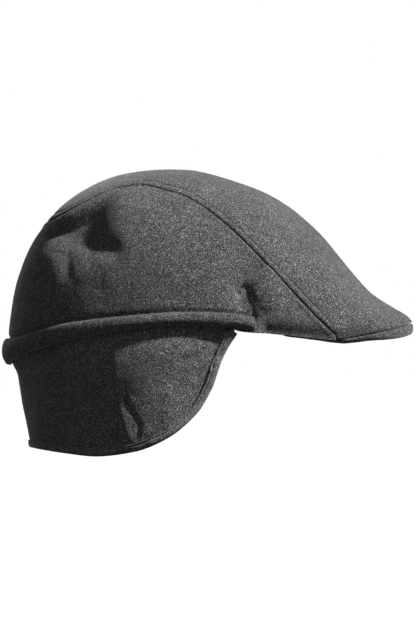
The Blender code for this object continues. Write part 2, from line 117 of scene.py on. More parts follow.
add_light("key", "SUN", (0.70, -0.28, 0.66), 5.6, 4.0)
add_light("fill", "AREA", (-0.10, -0.85, 0.45), 3.8, 1.4)
add_light("far_fill", "AREA", (-0.30, 0.90, 0.35), 7.0, 1.2)
add_light("inside_fill", "AREA", (0.90, -0.15, -0.30), 1.0, 0.6)
add_light("low_fill", "AREA", (0.30, -0.40, -0.85), 0.35, 1.0)

bpy.ops.mesh.primitive_plane_add(size=FLOOR_SIZE, location=(0.0, 0.0, -FLOOR_DROP))
floor = bpy.context.object
floor.name = "floor"
floor.visible_diffuse = False

world = bpy.data.worlds.new("surround")
world.use_nodes = True
world.node_tree.nodes["Background"].inputs["Color"].default_value = from_hex("#ffffff")
world.node_tree.nodes["Background"].inputs["Strength"].default_value = 1.0
world.cycles_visibility.diffuse = False
world.cycles_visibility.glossy = False
scene.world = world
scene.view_settings.view_transform = "Standard"

# %% [markdown]
# ## The cap's sizes
#
# These are the cap's sizes in metres, and the lines of the side view as shares of them. The finer pieces
# repeat the surfaces of the solids, so each stays in the space of the solid it replaces.

# %% Named sizes
CROWN_BACK = 0.107
CROWN_FRONT = 0.174
CROWN_HALF_WIDTH = 0.085
CROWN_HEIGHT = 0.1116
CROWN_WALL = 0.0022
APEX_AHEAD = 0.009
BACK_PLAN_ROUNDNESS = 2.1
FRONT_PLAN_ROUNDNESS = 2.15
BACK_PROFILE_ROUNDNESS = 2.38
FRONT_PROFILE_ROUNDNESS = 2.0
SIDE_PANEL_END = 0.1216

CUFF_FRONT = 0.064
CUFF_WALL = 0.0018
CUFF_BULGE_BACK = 0.0043
CUFF_BULGE_FRONT = 0.0034
CUFF_CURL = 0.0020
CUFF_CURL_END = 0.040
CUFF_FADE = 0.012
CUFF_FULLNESS = 1.0
CUFF_LOW_FULLNESS = 2.0

FLAP_FRONT = 0.0502
FLAP_DEPTH = 0.0846
FLAP_WALL = 0.0024
FLAP_TUCK = 0.008
FLAP_LEAN_BACK = 0.185
FLAP_LEAN_SIDE = 0.045
FLAP_STEP_BACK = 0.0020
FLAP_STEP_DROP = 0.010
FLAP_BELLY = 0.0036
FLAP_BELLY_AHEAD = 0.004
FLAP_BELLY_REACH = 0.032
FLAP_BELLY_START = 0.003
FLAP_BELLY_DROP = 0.024
FLAP_SPREAD = 1.6
BINDING_WIDTH = 0.0058
BINDING_WALL = 0.0011
FIT_GAP = 0.0003
WALL_CLEARANCE = 0.0006

CROWN_LENGTH = CROWN_BACK + CROWN_FRONT
SIDE_PANEL_LENGTH = CROWN_BACK + SIDE_PANEL_END
FLAP_LENGTH = CROWN_BACK + FLAP_FRONT
print("crown", round(CROWN_LENGTH / MM), "mm long,", round(2 * CROWN_HALF_WIDTH / MM), "mm wide")

# %% The lines of the side view
# Each row is a place along the cap from its back and a height, both as shares.
RIM_LINE = (
    (0.000, -0.196), (0.010, -0.166), (0.030, -0.137), (0.062, -0.105), (0.143, -0.049),
    (0.287, 0.020), (0.431, 0.051), (0.505, 0.043), (0.545, 0.018), (0.575, -0.008),
    (0.647, -0.022), (0.730, -0.042), (0.813, -0.060), (0.838, -0.057), (0.866, -0.044),
    (0.900, -0.025), (0.952, 0.006), (0.982, 0.028), (1.000, 0.044),
)
TOP_LINE = (
    (0.413, 1.000), (0.448, 0.996), (0.482, 0.981), (0.521, 0.956), (0.561, 0.926),
    (0.605, 0.888), (0.645, 0.843), (0.697, 0.763), (0.737, 0.681), (0.777, 0.586),
    (0.816, 0.468), (0.856, 0.343), (0.895, 0.238), (0.934, 0.168), (0.970, 0.116),
    (0.990, 0.086), (1.000, 0.068),
)
SEAM_LINE = (
    (0.0738, 0.650), (0.1119, 0.669), (0.1635, 0.712), (0.2188, 0.775), (0.2803, 0.838),
    (0.3245, 0.874), (0.3589, 0.890), (0.4192, 0.900), (0.4806, 0.869), (0.5409, 0.831),
    (0.6380, 0.700), (0.7424, 0.500), (0.8457, 0.275), (0.9514, 0.050), (1.0006, -0.030),
    (1.0264, -0.070),
)
CUFF_TOP_LINE = (
    (0.000, -0.052), (0.030, -0.044), (0.062, -0.015), (0.143, 0.041), (0.287, 0.087),
    (0.431, 0.112), (0.529, 0.106), (0.573, 0.094), (0.610, 0.081),
)
# The flap's free edge: a place as a share of the flap's length and a depth as a share of its depth.
FLAP_EDGE = (
    (0.110, 0.935), (0.160, 0.950), (0.256, 0.976), (0.396, 1.000), (0.546, 0.967),
    (0.630, 0.919), (0.727, 0.822), (0.789, 0.726), (0.837, 0.629), (0.868, 0.532),
    (0.894, 0.435), (0.911, 0.339), (0.929, 0.242), (0.970, 0.096), (1.000, 0.012),
)


def read_line(rows, place):
    """The height of a table's smooth curve at each place."""
    xs, ys = np.array(rows).T
    last = len(xs) - 1
    before = np.maximum(np.arange(last + 1) - 1, 0)
    after = np.minimum(np.arange(last + 1) + 1, last)
    slopes = (ys[after] - ys[before]) / (xs[after] - xs[before])
    row = np.clip(np.searchsorted(xs, place, side="right") - 1, 0, last - 1)
    span = xs[row + 1] - xs[row]
    t = np.clip((place - xs[row]) / span, 0.0, 1.0)
    rise = ys[row] * (1 + 2 * t) * (1 - t) ** 2 + ys[row + 1] * t * t * (3 - 2 * t)
    return rise + span * (slopes[row] * t * (1 - t) ** 2 - slopes[row + 1] * t * t * (1 - t))


def side_height(rows, x, length=CROWN_LENGTH):
    """The height of a line of the side view above each X."""
    return CROWN_HEIGHT * read_line(rows, (x + CROWN_BACK) / length)


print("rim height at the back and the front, mm:",
      [round(float(side_height(RIM_LINE, x)) / MM, 1) for x in (-CROWN_BACK, CROWN_FRONT)])

# %% [markdown]
# ## The crown's surface
#
# Seen from above, the rim is a rounded oval. Round it, measured in metres from the centre of the back, a
# profile rises from the rim to the middle line of the top. Every point of the crown has its distance round
# the rim and its turn up that profile. The wearer's right is on the positive side of the distance.

# %% The rim from above
PLAN_STEPS = 960
HALVINGS = 48
NEARLY_ZERO = 1e-6


def ramp(value, start, end):
    """0 before start, 1 after end, and a smooth step between."""
    share = np.clip((value - start) / (end - start), 0.0, 1.0)
    return share * share * (3.0 - 2.0 * share)


def bell(value, middle, width):
    """1 at the middle, and a smooth fall to 0 about two widths away on both sides."""
    return np.exp(-(((value - middle) / width) ** 2))


def unit(ways):
    """The same ways, each one metre long."""
    return ways / np.linalg.norm(ways, axis=-1, keepdims=True)


def lengths_along(line):
    """How far along a line of points each of them lies."""
    return np.concatenate([[0.0], np.cumsum(np.linalg.norm(np.diff(line, axis=0), axis=1))])


def line_at(at, travelled, line):
    """A line's points at each length along it."""
    return np.stack([np.interp(at, travelled, column) for column in line.T], axis=-1)


def halved(low, high, falls_short):
    """Where a test that is true below and false above changes, found by halving the range."""
    for _ in range(HALVINGS):
        middle = (low + high) / 2
        short = falls_short(middle)
        low, high = np.where(short, middle, low), np.where(short, high, middle)
    return (low + high) / 2


def rim_outline():
    """Half of the rim from above, from the centre of the back to the front."""
    angle = np.linspace(0.0, math.pi / 2, PLAN_STEPS + 1)
    cosine, sine = np.cos(angle).clip(0.0), np.sin(angle)
    back, front = 2 / BACK_PLAN_ROUNDNESS, 2 / FRONT_PLAN_ROUNDNESS
    behind = np.stack([APEX_AHEAD - (CROWN_BACK + APEX_AHEAD) * cosine**back,
                       -CROWN_HALF_WIDTH * sine**back], axis=1)
    ahead = np.stack([APEX_AHEAD + (CROWN_FRONT - APEX_AHEAD) * sine**front,
                      -CROWN_HALF_WIDTH * np.where(cosine < NEARLY_ZERO, 0.0, cosine) ** front], axis=1)
    return np.concatenate([behind, ahead[1:]])


def outward(line):
    """The way out from a line that runs round the right side."""
    along = np.gradient(line, axis=0)
    out = np.stack([along[:, 1], -along[:, 0]], axis=1)
    out[0] = (-1.0, 0.0)
    return unit(out)


RIM = rim_outline()
RIM_OUT = outward(RIM)
RIM_ROUND = lengths_along(RIM)


def rim_at(distance):
    """X, Y and the way out of the rim at each distance round it."""
    side = np.where(np.asarray(distance) < 0, -1.0, 1.0)
    place = line_at(np.abs(distance), RIM_ROUND, RIM)
    out = unit(line_at(np.abs(distance), RIM_ROUND, RIM_OUT))
    return place[..., 0], place[..., 1] * side, out[..., 0], out[..., 1] * side


def rim_distance(x):
    """How far round the rim from the centre of the back a place at this X lies."""
    return np.interp(x, RIM[:, 0], RIM_ROUND)


print("half of the rim is", round(RIM_ROUND[-1] / MM), "mm round")

# %% The profile above the rim
SLOPE_STEP = 0.01


def bare_crown(distance, turn):
    """Points of the smooth crown: turn 0 at the rim and a right angle at the middle line of the top."""
    x, y, _, _ = rim_at(distance)
    centre = np.maximum(x, APEX_AHEAD)
    forward = np.maximum(x - APEX_AHEAD, 0.0) / (CROWN_FRONT - APEX_AHEAD)
    power = 2 / (BACK_PROFILE_ROUNDNESS + forward * (FRONT_PROFILE_ROUNDNESS - BACK_PROFILE_ROUNDNESS))
    low, high = side_height(RIM_LINE, x), side_height(TOP_LINE, centre)
    wide = np.cos(turn).clip(0.0) ** power
    return np.stack([centre + (x - centre) * wide, y * wide,
                     low + (high - low) * np.sin(turn) ** power], axis=-1)


def crown_out(distance, turn):
    """The way out of the smooth crown."""
    stride = SLOPE_STEP * CROWN_BACK
    turn = np.clip(turn, SLOPE_STEP, math.pi / 2 - 3 * SLOPE_STEP)
    reach = np.clip(distance, 3 * stride, RIM_ROUND[-1] - 3 * stride)
    up = bare_crown(reach, turn + SLOPE_STEP) - bare_crown(reach, turn - SLOPE_STEP)
    along = bare_crown(reach + stride, turn) - bare_crown(reach - stride, turn)
    return unit(np.cross(along, up))


def seam_turn(distance):
    """The turn at which each profile crosses the seam between the top and side panels."""
    def under_seam(turn):
        point = bare_crown(distance, turn)
        return point[..., 2] < side_height(SEAM_LINE, point[..., 0], SIDE_PANEL_LENGTH)

    turn = halved(np.zeros_like(distance), np.full_like(distance, math.pi / 2 - SLOPE_STEP), under_seam)
    return np.where(rim_at(distance)[0] >= SIDE_PANEL_END, 0.0, turn)


PROFILE_SAMPLES = 160


def measured_turns(distance, start, end):
    """The turns of one profile between two turns, and how far up it each lies."""
    turns = np.linspace(start, end, PROFILE_SAMPLES)
    return turns, lengths_along(bare_crown(np.full_like(turns, distance), turns))


print("seam starts", round(float(bare_crown(np.array([0.0]), seam_turn(np.array([0.0])))[0, 2]) / MM),
      "mm above the rim of the ears")

# %% [markdown]
# ## Dents and folds
#
# Soft cloth keeps the marks of wear. Seen from the side, the back of the crown has fallen in to a hollow
# with a front wall, a crease runs down from it, and a tuck is pinched over the front of the cuff. A
# broad dent is a soft bowl. A fold is a line that is steep on one side and gentle on the other, and fades
# out at both ends.

# %% Tables of dents and folds
# Broad dents, as shares of the crown's length and height. The solids have simpler ones in the same places.
CROWN_DENTS = (
    # along, height, half_long, half_across, turn, depth
    (0.257, 0.500, 0.032, 0.070, 0.0, 0.018),
    (0.158, 0.590, 0.075, 0.050, -25.0, 0.006),
    (0.198, 0.440, 0.080, 0.090, -20.0, -0.002),
    (0.143, 0.460, 0.030, 0.160, 0.0, 0.010),
    (0.588, 0.250, 0.030, 0.150, 15.0, 0.015),
    (0.640, 0.210, 0.040, 0.100, 0.0, -0.010),
)
# Folds of the crown in the side view, in millimetres from the middle of the head opening. A fold runs
# along its line of places. Its widths are to the left and the right of the way it runs.
CROWN_FOLDS = (
    # left_width, right_width, depth, (x, z) of each place
    (2.6, 4.5, 0.7, (-69.5, 58), (-66.5, 44.5), (-64, 34)),
    (4, 6, 0.5, (-40, 46), (-44, 24)),
    (5, 6, 0.5, (-84, 54), (-82, 18)),
    (3, 9, 1.5, (76, 47), (68, 43), (57.7, 34), (54.2, 27.8), (56, 20.9), (57, 0)),
    (1.1, 1.5, 2, (71, 46), (65, 41), (57.7, 34), (53.6, 28), (54.6, 20)),
    (2.2, 3, 0.5, (63.5, 39), (60.5, 26.4), (66.4, 17.4), (74, 6)),
    (3.8, 7, 2.7, (56.5, 36), (60.5, 18), (65, 2.5)),
    (1.2, 1.4, 0.7, (63.2, 12), (64.6, 5), (65.2, 1)),
    (8, 8, -1.5, (74, 48), (79, 10)),
    (5, 5, -0.4, (74, 60), (94, 44)),
)
# Folds of the flap, read the same way.
FLAP_FOLDS = (
    # left_width, right_width, depth, (x, z) of each place
    (26, 3, -1.9, (-32.5, 10), (-32, -14), (-30.5, -36.8), (-28, -54), (-24, -92)),
    (1.5, 1.7, 1.1, (-25, -44), (-23, -52), (-14.6, -65.3), (-17, -78)),
    (2.2, 2.2, -0.6, (-29, -50), (-20, -80)),
    (3, 2.6, 0.6, (40, -14.5), (17, -19.5), (8, -22)),
    (9, 9, 1.6, (30, 12), (36, 0), (43, -24)),
    (7, 7, 0.9, (-70, -12), (-66, -76)),
    (8, 8, -0.7, (10, -34), (4, -72)),
)
FOLD_FADE = 0.22
FOLD_BLEND = 0.0005
# Folds, read in the side view, fade out between these distances from the middle plane.
FOLDED_SIDE = (0.02, 0.04)
# The hollow at the back, in millimetres of the side view: its front wall, how deep the wall steps down and
# how steeply the floor falls behind it, where the step begins and is full from below at three places, the
# same for the fall, and how both fade out under the seam and behind.
HOLLOW_WALL, HOLLOW_WALL_HALF, HOLLOW_STEP, HOLLOW_FALL = -40.0, 15.0, 7.4, 0.09
HOLLOW_PLACES, HOLLOW_START, HOLLOW_FULL = (-78.0, -50.0, -27.0), (36.0, 34.0, 44.0), (84.0, 66.0, 60.0)
HOLLOW_FALL_START, HOLLOW_FALL_FULL = 8.0, 38.0
HOLLOW_UNDER_SEAM, HOLLOW_BACK = (2.5, 9.5), (-97.0, -54.0)


def hollow_depth(points):
    """How far the back of the crown has fallen in."""
    x, z = points[..., 0] / MM, points[..., 2] / MM
    behind = HOLLOW_WALL - x
    start, full = (np.interp(x, HOLLOW_PLACES, heights) for heights in (HOLLOW_START, HOLLOW_FULL))
    step = HOLLOW_STEP * ramp(behind, -HOLLOW_WALL_HALF, HOLLOW_WALL_HALF) * ramp(z, start, full)
    fall = HOLLOW_FALL * behind.clip(0.0) * ramp(z, HOLLOW_FALL_START, HOLLOW_FALL_FULL)
    under = side_height(SEAM_LINE, points[..., 0], SIDE_PANEL_LENGTH) / MM - z
    return (step + fall) * ramp(under, *HOLLOW_UNDER_SEAM) * ramp(x, *HOLLOW_BACK) * MM


def dent_depth(points):
    """How far the broad dents press the crown in at each point."""
    depth = np.zeros(points.shape[:-1])
    for along, height, half_long, half_across, turn, deep in CROWN_DENTS:
        across = points[..., 0] - (along * CROWN_LENGTH - CROWN_BACK)
        up = points[..., 2] - height * CROWN_HEIGHT
        cosine, sine = math.cos(math.radians(turn)), math.sin(math.radians(turn))
        long_way = (across * cosine + up * sine) / (half_long * CROWN_LENGTH)
        short_way = (up * cosine - across * sine) / (half_across * CROWN_HEIGHT)
        depth += deep * CROWN_HEIGHT * bell(long_way, 0.0, 1.0) * bell(short_way, 0.0, 1.0)
    return (depth + hollow_depth(points)) * ramp(np.abs(points[..., 1]), 0.0, CROWN_HALF_WIDTH / 2)


def fold_depth(points, folds):
    """How far folds press cloth in at each point, read in the side view."""
    depth = np.zeros(points.shape[:-1])
    for left_width, right_width, deep, *line in folds:
        corners = np.array(line) * MM
        before = lengths_along(corners)
        nearest = np.full(depth.shape, np.inf)
        travelled, lean = np.zeros_like(depth), np.zeros_like(depth)
        for start, end, leg, passed in zip(corners[:-1], corners[1:], np.diff(before), before):
            run_x, run_z = (end - start) / leg
            off_x, off_z = points[..., 0] - start[0], points[..., 2] - start[1]
            reach = np.clip(off_x * run_x + off_z * run_z, 0.0, leg)
            away = np.hypot(off_x - reach * run_x, off_z - reach * run_z)
            closer = away < nearest
            nearest = np.where(closer, away, nearest)
            travelled = np.where(closer, passed + reach, travelled)
            lean = np.where(closer, run_x * off_z - run_z * off_x, lean)
        on_left = ramp(lean, -FOLD_BLEND, FOLD_BLEND)
        width = (right_width + (left_width - right_width) * on_left) * MM
        share = travelled / before[-1]
        faded = ramp(share, 0.0, FOLD_FADE) * ramp(1.0 - share, 0.0, FOLD_FADE)
        depth += deep * MM * faded * bell(nearest, 0.0, width)
    return depth


def twins(points):
    """The same places on the left side, so that both sides get the same marks."""
    return points * np.array((1.0, 0.0, 1.0)) + np.abs(points) * np.array((0.0, 1.0, 0.0))


def unevenness(points, grain, deep, seed):
    """Gentle bumps about as wide as grain and as high as deep, as thick felted cloth has."""
    flat = points.reshape(-1, 3) / grain + seed
    values = [noise.noise(Vector(p)) for p in flat]
    return deep * np.array(values).reshape(points.shape[:-1])


print(len(CROWN_DENTS), "dents,", len(CROWN_FOLDS), "crown folds,", len(FLAP_FOLDS), "flap folds")

# %% [markdown]
# ## From a grid to a panel of cloth
#
# Each panel starts as a flat grid, like cloth on the cutting table. Its points are moved to their places
# on the cap, doubled points are merged, and Solidify gives the cloth its thickness inwards. A small bevel
# takes the hard corner off a cut edge that shows.

# %% A helper that wraps a grid
MERGE = 0.00001
EDGE_ANGLE = math.radians(60)
SOFT_EDGE = 0.0005
BINDING_SOFT_EDGE = 0.0003


def only(piece):
    """Leaves this one object selected and active."""
    bpy.ops.object.select_all(action="DESELECT")
    piece.select_set(True)
    bpy.context.view_layer.objects.active = piece


def read_points(piece):
    flat = np.empty(len(piece.data.vertices) * 3)
    piece.data.vertices.foreach_get("co", flat)
    return flat.reshape(-1, 3)


def set_points(piece, places):
    piece.data.vertices.foreach_set("co", places.ravel())
    piece.data.update()


def cut_size(places):
    """How long the two sides of a panel laid flat are in mm, and its area in square centimetres."""
    down, along = np.diff(places, axis=0), np.diff(places, axis=1)
    area = np.linalg.norm(np.cross(down[:, :-1], along[:-1]), axis=2).sum()
    width = np.linalg.norm(down, axis=2).sum(axis=0).max()
    length = np.linalg.norm(along, axis=2).sum(axis=1).max()
    return round(float(width) / MM), round(float(length) / MM), round(float(area) / CM**2)


def wrapped_grid(name, places, outs):
    """A flat grid moved to an array of places, with its faces turned the way that outs points."""
    rows, columns = places.shape[:2]
    bpy.ops.object.select_all(action="DESELECT")
    bpy.ops.mesh.primitive_grid_add(x_subdivisions=columns - 1, y_subdivisions=rows - 1, size=1.0)
    piece = bpy.context.object
    piece.name = piece.data.name = name
    flat = read_points(piece)
    column = np.rint((flat[:, 0] + 0.5) * (columns - 1)).astype(int)
    row = np.rint((flat[:, 1] + 0.5) * (rows - 1)).astype(int)
    set_points(piece, places[row, column])
    middle = piece.data.polygons[len(piece.data.polygons) // 2]
    wanted = Vector(outs[row, column][middle.vertices[0]])
    bpy.ops.object.mode_set(mode="EDIT")
    bpy.ops.mesh.select_all(action="SELECT")
    if middle.normal.dot(wanted) < 0:
        bpy.ops.mesh.flip_normals()
    bpy.ops.mesh.remove_doubles(threshold=MERGE)
    bpy.ops.object.mode_set(mode="OBJECT")
    print("cut size:", *cut_size(places))
    return piece


def give_wall(piece, wall, edge=None, shares=None):
    """Thickens a sheet inwards, evenly or by a share at each point, and rounds cut edges that show."""
    only(piece)
    solid = piece.modifiers.new("wall", "SOLIDIFY")
    if shares is not None:
        group = piece.vertex_groups.new(name="wall")
        for i, share in enumerate(shares):
            group.add([i], share, "REPLACE")
        solid.vertex_group = group.name
    solid.thickness = wall
    solid.offset = -1.0
    solid.use_quality_normals = True
    bpy.ops.object.modifier_apply(modifier=solid.name)
    if edge:
        round_edge = piece.modifiers.new("soft edge", "BEVEL")
        round_edge.width = edge
        round_edge.segments = 2
        round_edge.limit_method = "ANGLE"
        round_edge.angle_limit = EDGE_ANGLE
        bpy.ops.object.modifier_apply(modifier=round_edge.name)
    smooth_and_report(piece)


def smooth_and_report(piece):
    """Shades a finished piece smoothly and says how large its mesh is."""
    only(piece)
    bpy.ops.object.shade_smooth()
    piece.data.calc_loop_triangles()
    print(f"{piece.name}: {len(piece.data.loop_triangles)} triangles")


# %% [markdown]
# ## The top panel
#
# One tongue of cloth runs from the peak's front edge over the top to the back. Its edges turn under along
# the seams, and a line of topstitching holds the turned edge down 6.5 mm away, so the band between seam
# and stitches stands a little proud and puckers. Rows of the grid are set close together there. The edges
# of neighbouring panels plunge and cross under their seam, as a sewn allowance does, so no light shows.

# %% Make the top panel
SEAM_DIVE = 0.0010
SEAM_DIVE_WIDTH = 0.0008
SEAM_PLUNGE = 4.0
SEAM_LAP_TURN = 0.03
BAND_WIDTH = 0.0065
BAND_RISE = 0.00045
# Where the band closes, from the seam's end, and where and by how much the seams lie flatter.
BAND_CLOSES = (-0.012, 0.0015)
BACK_FLAT, FLAT_AT_BACK = (0.003, 0.020), 0.8
TIP_FLAT, FLAT_AT_TIP = (-0.030, -0.005), 0.4
STITCH_GROOVE = 0.00050
STITCH_GROOVE_WIDTH = 0.0007
CUFF_SINK = 0.0012
CUFF_SINK_WIDTH = 0.0022
HEM_ROLL = 0.0044
HEM_WIDTH = 0.0065
HEM_FADE = 0.010
HEM_TIP_START = 0.012
# Puckers, lumps and fuzz of cloth: how wide, how deep (a share for puckers), and a seed.
BAND_PUCKERS = (0.009, 0.9, 3.0)
SIDE_PUCKERS = (0.009, 0.9, 5.0)
CROWN_LUMPS = (0.022, 0.00035, 11.0)
CROWN_FUZZ = (0.006, 0.00012, 23.0)
SHORT_PROFILE = 0.030
SEAM_ROWS = np.array((-0.5, -0.2, 0.0, 0.3, 0.7, 1.3, 2.1, 3.2, 4.2, 5.1, 5.8, 6.2, 6.5, 6.8, 7.2, 7.8,
                      8.8)) * MM
TIP_DROP = 0.0006
TIP_BACK = 0.0007
TIP_LONG = 0.004
TIP_THINNING = 0.012
TIP_WALL_SHARE = 0.3
TOP_ROWS = 50
TOP_COLUMNS_BACK = 110
TOP_COLUMNS_FRONT = 90
TOP_COLUMNS_PEAK = 70

stitch_end = float(rim_distance(SIDE_PANEL_END))


def stitch_offset(distance):
    """How far the topstitching runs from the seam: it bends down to the seam's end at the peak."""
    return BAND_WIDTH * (1.0 - ramp(distance - stitch_end, *BAND_CLOSES))


def seam_dive(off, share=1.0):
    """How far a panel's edge turns in at this distance from its seam, and plunges past it."""
    dive = SEAM_DIVE * share * bell(np.maximum(off, 0.0), 0.0, SEAM_DIVE_WIDTH)
    return dive + SEAM_PLUNGE * np.maximum(-off, 0.0)


def dive_share(distance):
    """The seams lie flatter where they meet at the back, and at the peak's tip."""
    at_back = 1.0 - ramp(distance, *BACK_FLAT)
    at_tip = ramp(distance - RIM_ROUND[-1], *TIP_FLAT)
    return (1.0 - FLAT_AT_BACK * at_back) * (1.0 - FLAT_AT_TIP * at_tip)


def hem_share(x):
    """How much the front's lower edge rolls under at each X: most at the peak's corner, none at its tip."""
    fade_in = ramp(x, CUFF_FRONT, CUFF_FRONT + HEM_FADE)
    return fade_in * (1.0 - ramp(x, SIDE_PANEL_END + HEM_TIP_START, CROWN_FRONT - HEM_FADE))


def hem_roll(x, above):
    """How far the front's lower edge rolls under, this far above the rim."""
    return HEM_ROLL * hem_share(x) * bell(np.maximum(above, 0.0), 0.0, HEM_WIDTH)


def seam_relief(points, off, distance):
    """How far cloth beside the seam is pressed in, this far off the seam."""
    stitched = stitch_offset(distance)
    pucker = 1.0 + unevenness(points, *BAND_PUCKERS)
    along_seam = ramp(stitched, 0.0, BAND_WIDTH / 2)
    depth = seam_dive(off, dive_share(distance))
    band = np.sin(math.pi * np.clip(off / np.maximum(stitched, MM), 0.0, 1.0))
    depth -= BAND_RISE * dive_share(distance) * pucker * band * along_seam
    return depth + STITCH_GROOVE * along_seam * bell(off, stitched, STITCH_GROOVE_WIDTH)


def crown_surface(distance, turn, pressed):
    """Points of the worn crown, with this much more pressed in, and the way out there."""
    point = bare_crown(distance, turn)
    out = crown_out(distance, turn)
    out[..., 1] = np.where(np.abs(point[..., 1]) < NEARLY_ZERO, 0.0, out[..., 1])
    depth = dent_depth(point) + fold_depth(point, CROWN_FOLDS) * ramp(np.abs(point[..., 1]), *FOLDED_SIDE)
    depth += unevenness(point, *CROWN_LUMPS) + unevenness(point, *CROWN_FUZZ)
    depth += hem_roll(point[..., 0], point[..., 2] - side_height(RIM_LINE, point[..., 0]))
    above_cuff = point[..., 2] - side_height(CUFF_TOP_LINE, rim_at(distance)[0])
    drawn_in = 1.0 - ramp(point[..., 0], CUFF_FRONT - CUFF_FADE, CUFF_FRONT)
    depth += CUFF_SINK * drawn_in * bell(above_cuff, 0.0, CUFF_SINK_WIDTH)
    at_tip = ramp(point[..., 0], CROWN_FRONT - TIP_LONG, CROWN_FRONT) * ramp(turn, 0.0, math.pi / 2)
    point[..., 0] -= TIP_BACK * at_tip
    point[..., 2] -= TIP_DROP * at_tip
    return point - out * (depth + pressed)[..., None], out


def laid_out(columns, seams, above, rows_of, lap=SEAM_LAP_TURN):
    """The turns of each column's rows above or below the seam, and how far off the seam they lie."""
    turns, offs = [], []
    for distance, seam in zip(columns, seams):
        start, end = (max(seam - lap, 0.0), math.pi / 2) if above else (0.0, seam + lap)
        samples, travelled = measured_turns(distance, start, end)
        at_seam = np.interp(seam, samples, travelled)
        off = rows_of(distance, travelled[-1] - at_seam if above else at_seam)
        turns.append(np.interp(at_seam + (off if above else -off), travelled, samples))
        offs.append(off)
    return np.array(turns).T, np.array(offs).T


def top_panel_grid():
    """Places and outward ways of one half of the top panel, from the seam to the middle line."""
    middle = float(rim_distance(APEX_AHEAD))
    columns = np.concatenate([
        np.linspace(0.0, middle, TOP_COLUMNS_BACK + 1),
        np.linspace(middle, stitch_end, TOP_COLUMNS_FRONT + 1)[1:],
        np.linspace(stitch_end, RIM_ROUND[-1], TOP_COLUMNS_PEAK + 1)[1:],
    ])

    def rows_of(distance, whole):
        near = SEAM_ROWS * min(whole / SHORT_PROFILE, 1.0)
        return np.concatenate([near, np.linspace(near[-1], whole, TOP_ROWS + 1)[1:]])

    turns, offs = laid_out(columns, seam_turn(columns), True, rows_of)
    distances = np.broadcast_to(columns, turns.shape)
    return crown_surface(distances, turns, seam_relief(bare_crown(distances, turns), offs, distances))


def mirrored(array):
    return array * np.array((1.0, -1.0, 1.0))


half, half_out = top_panel_grid()
places = np.concatenate([half, mirrored(half)[::-1][1:]])
outs = np.concatenate([half_out, mirrored(half_out)[::-1][1:]])
top_panel = wrapped_grid("top_panel_cloth", places, outs)
from_tip = (CROWN_FRONT - read_points(top_panel)[:, 0]) / TIP_THINNING
give_wall(top_panel, CROWN_WALL, shares=from_tip.clip(TIP_WALL_SHARE, 1.0))

# %% [markdown]
# ## The side panels
#
# Each side panel fills the space between the rim and the seam, from the centre of the back to the corner
# of the peak. Its upper and back edges dive into their seams, and its lower edge rolls in to a soft hem.

# %% Make the side panels
SIDE_COLUMNS = 330
SIDE_ROWS = 90
BACK_SEAM_STEPS = np.array((-0.5, -0.2, 0.0, 0.3, 0.8, 1.5, 2.4, 3.4)) * MM
SIDE_SEAM_ROWS = 11
SEAM_END_GAP = 0.0001
BACK_SEAM_SHARE = 0.6
SIDE_PUFF = 0.00035
SIDE_PUFF_OFF = 0.003
SIDE_PUFF_WIDTH = 0.0018


def side_panel_grid():
    """Places and outward ways of the right side panel, from the rim to the seam."""
    rest = np.linspace(BACK_SEAM_STEPS[-1], stitch_end, SIDE_COLUMNS)
    columns = np.concatenate([BACK_SEAM_STEPS[:-1], rest])

    def rows_of(distance, whole):
        near = SEAM_ROWS[:SIDE_SEAM_ROWS] * min(whole / SHORT_PROFILE, 1.0)
        return np.concatenate([np.linspace(whole, near[-1], SIDE_ROWS + 1)[:-1], near[::-1]])

    seams = seam_turn(np.minimum(columns, stitch_end - SEAM_END_GAP))
    turns, offs = laid_out(columns, seams, False, rows_of)
    distances = np.broadcast_to(columns, turns.shape)
    pucker = 1.0 + unevenness(bare_crown(distances, turns), *SIDE_PUCKERS)
    relief = seam_dive(offs, dive_share(distances)) + seam_dive(distances, BACK_SEAM_SHARE)
    relief -= SIDE_PUFF * pucker * bell(offs, SIDE_PUFF_OFF, SIDE_PUFF_WIDTH)
    return crown_surface(distances, turns, relief)


half, half_out = side_panel_grid()
side_panel_right = wrapped_grid("side_panel_right_cloth", half, half_out)
give_wall(side_panel_right, CROWN_WALL)
side_panel_left = wrapped_grid("side_panel_left_cloth", mirrored(half), mirrored(half_out))
give_wall(side_panel_left, CROWN_WALL)

# %% [markdown]
# ## The rolled cuff
#
# The lower edge is rolled up and over itself into a plump tube round the back and both sides. Seen in
# section it is a C: it hugs the crown above, swells outwards, and curls under the rim. It ends in front
# at a short upright seam, where the roll is pressed flat.

# %% Make the cuff
CUFF_COLUMNS = 300
CUFF_ROWS = 26
CUFF_END = float(rim_distance(CUFF_FRONT))
CUFF_END_ROUNDING = 0.0045
CURL_START = 0.875
CUFF_LUMPS = (0.013, 0.00030, 31.0)
CUFF_FUZZ = (0.005, 0.00014, 37.0)


